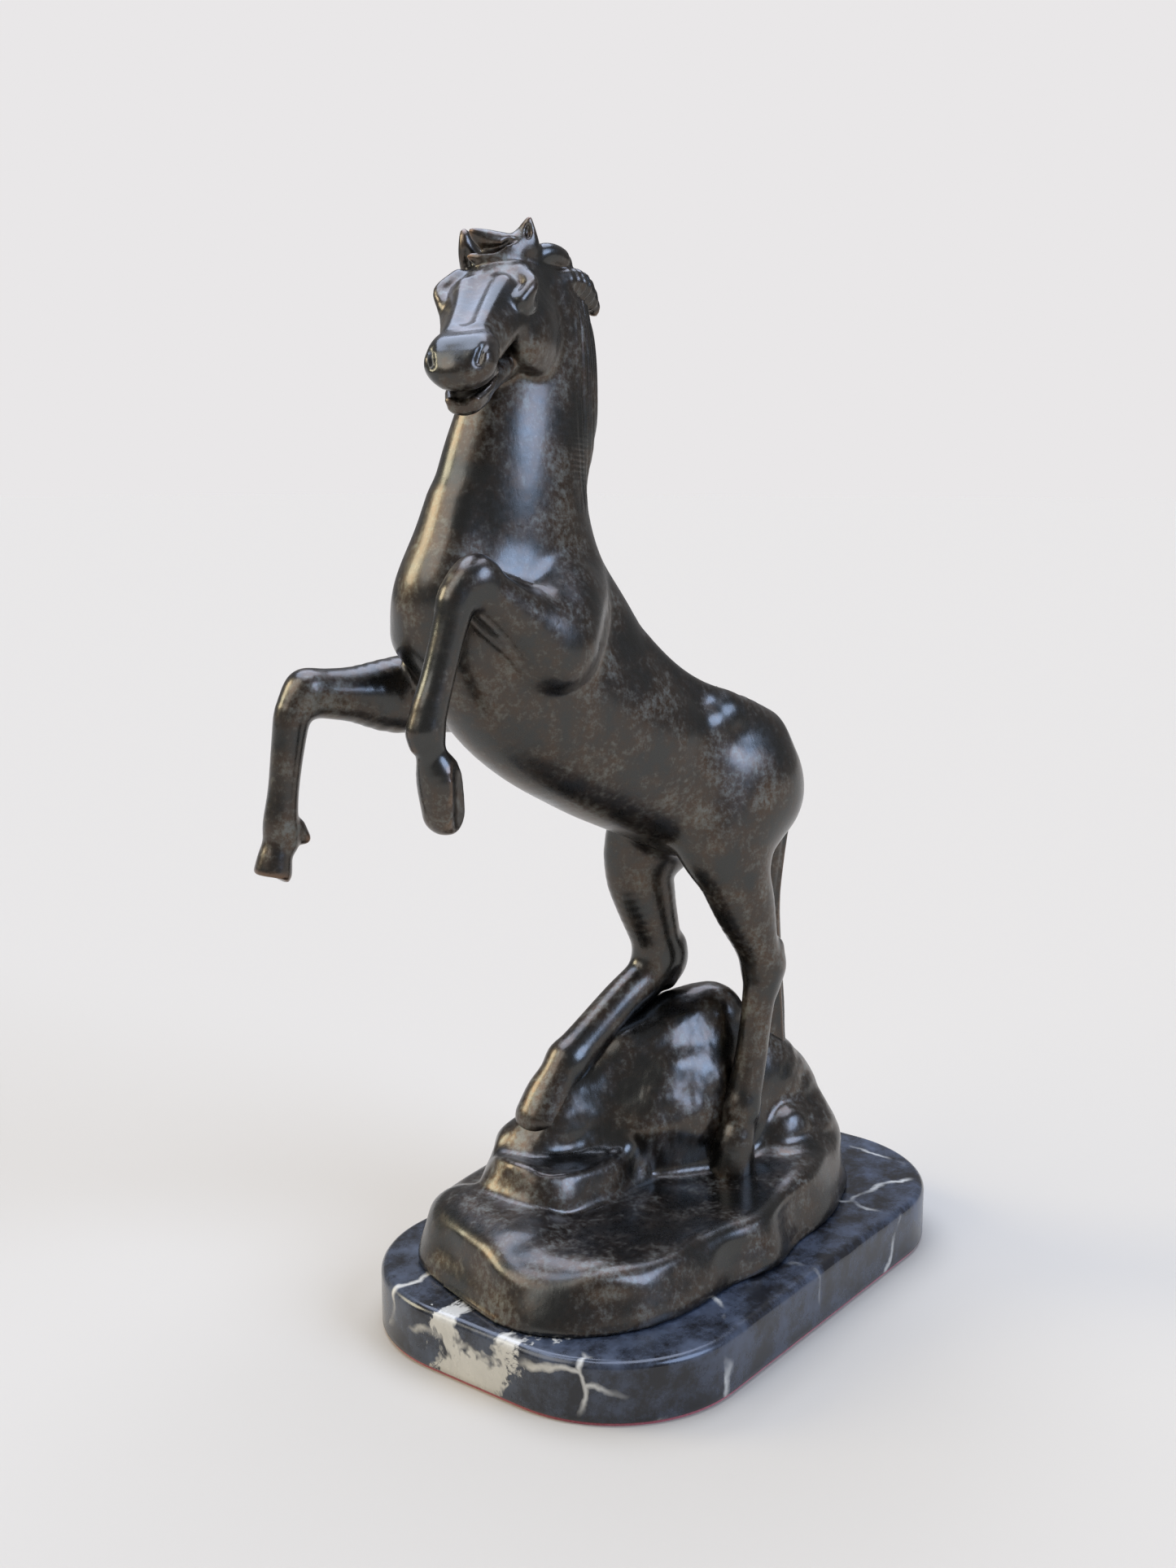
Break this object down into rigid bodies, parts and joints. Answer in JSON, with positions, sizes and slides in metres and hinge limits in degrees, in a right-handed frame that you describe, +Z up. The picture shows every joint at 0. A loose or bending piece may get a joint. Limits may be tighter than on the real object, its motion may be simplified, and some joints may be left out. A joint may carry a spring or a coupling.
{
  "type": "bronze horse statue",
  "caption": "Rearing bronze horse with turned head, on a rocky bronze mound bolted to a veined black marble plinth with felt under it.",
  "frame": {"origin": "centre of the felt's underside, on the surface the statue stands on", "axes": "+Z up; +X along the plinth's length, towards the horse's tail; the horse faces -X, turned 15 degrees towards +Y, with its left side towards -Y"},
  "size_m": [0.3486, 0.192, 0.5172],
  "materials": {
    "patinated_bronze": "dark brown-black patina, waxed, rubbed to copper on the knees, shins and edges",
    "pin_bronze": "bronze rod, chased flush",
    "black_marble": "polished black marble with white veins, scuffed",
    "red_felt": "wool felt",
    "fixing_steel": "zinc-plated steel"
  },
  "bodies": {
    "root": {"felt_pad": "red_felt", "marble_plinth": "black_marble", "rock_casting": "patinated_bronze", "base_studs": "fixing_steel", "base_washers": "fixing_steel", "base_nuts": "fixing_steel", "trunk_casting": "patinated_bronze", "core_plugs": "pin_bronze", "head_and_neck_casting": "patinated_bronze", "neck_pins": "pin_bronze", "left_foreleg": "patinated_bronze", "right_foreleg": "patinated_bronze", "left_hind_leg": "patinated_bronze", "right_hind_leg": "patinated_bronze", "leg_pins": "pin_bronze", "hoof_studs": "fixing_steel", "hoof_washers": "fixing_steel", "hoof_nuts": "fixing_steel", "tail_casting": "patinated_bronze", "tail_pin": "pin_bronze", "tail_dowel": "pin_bronze"}
  },
  "joints": []
}
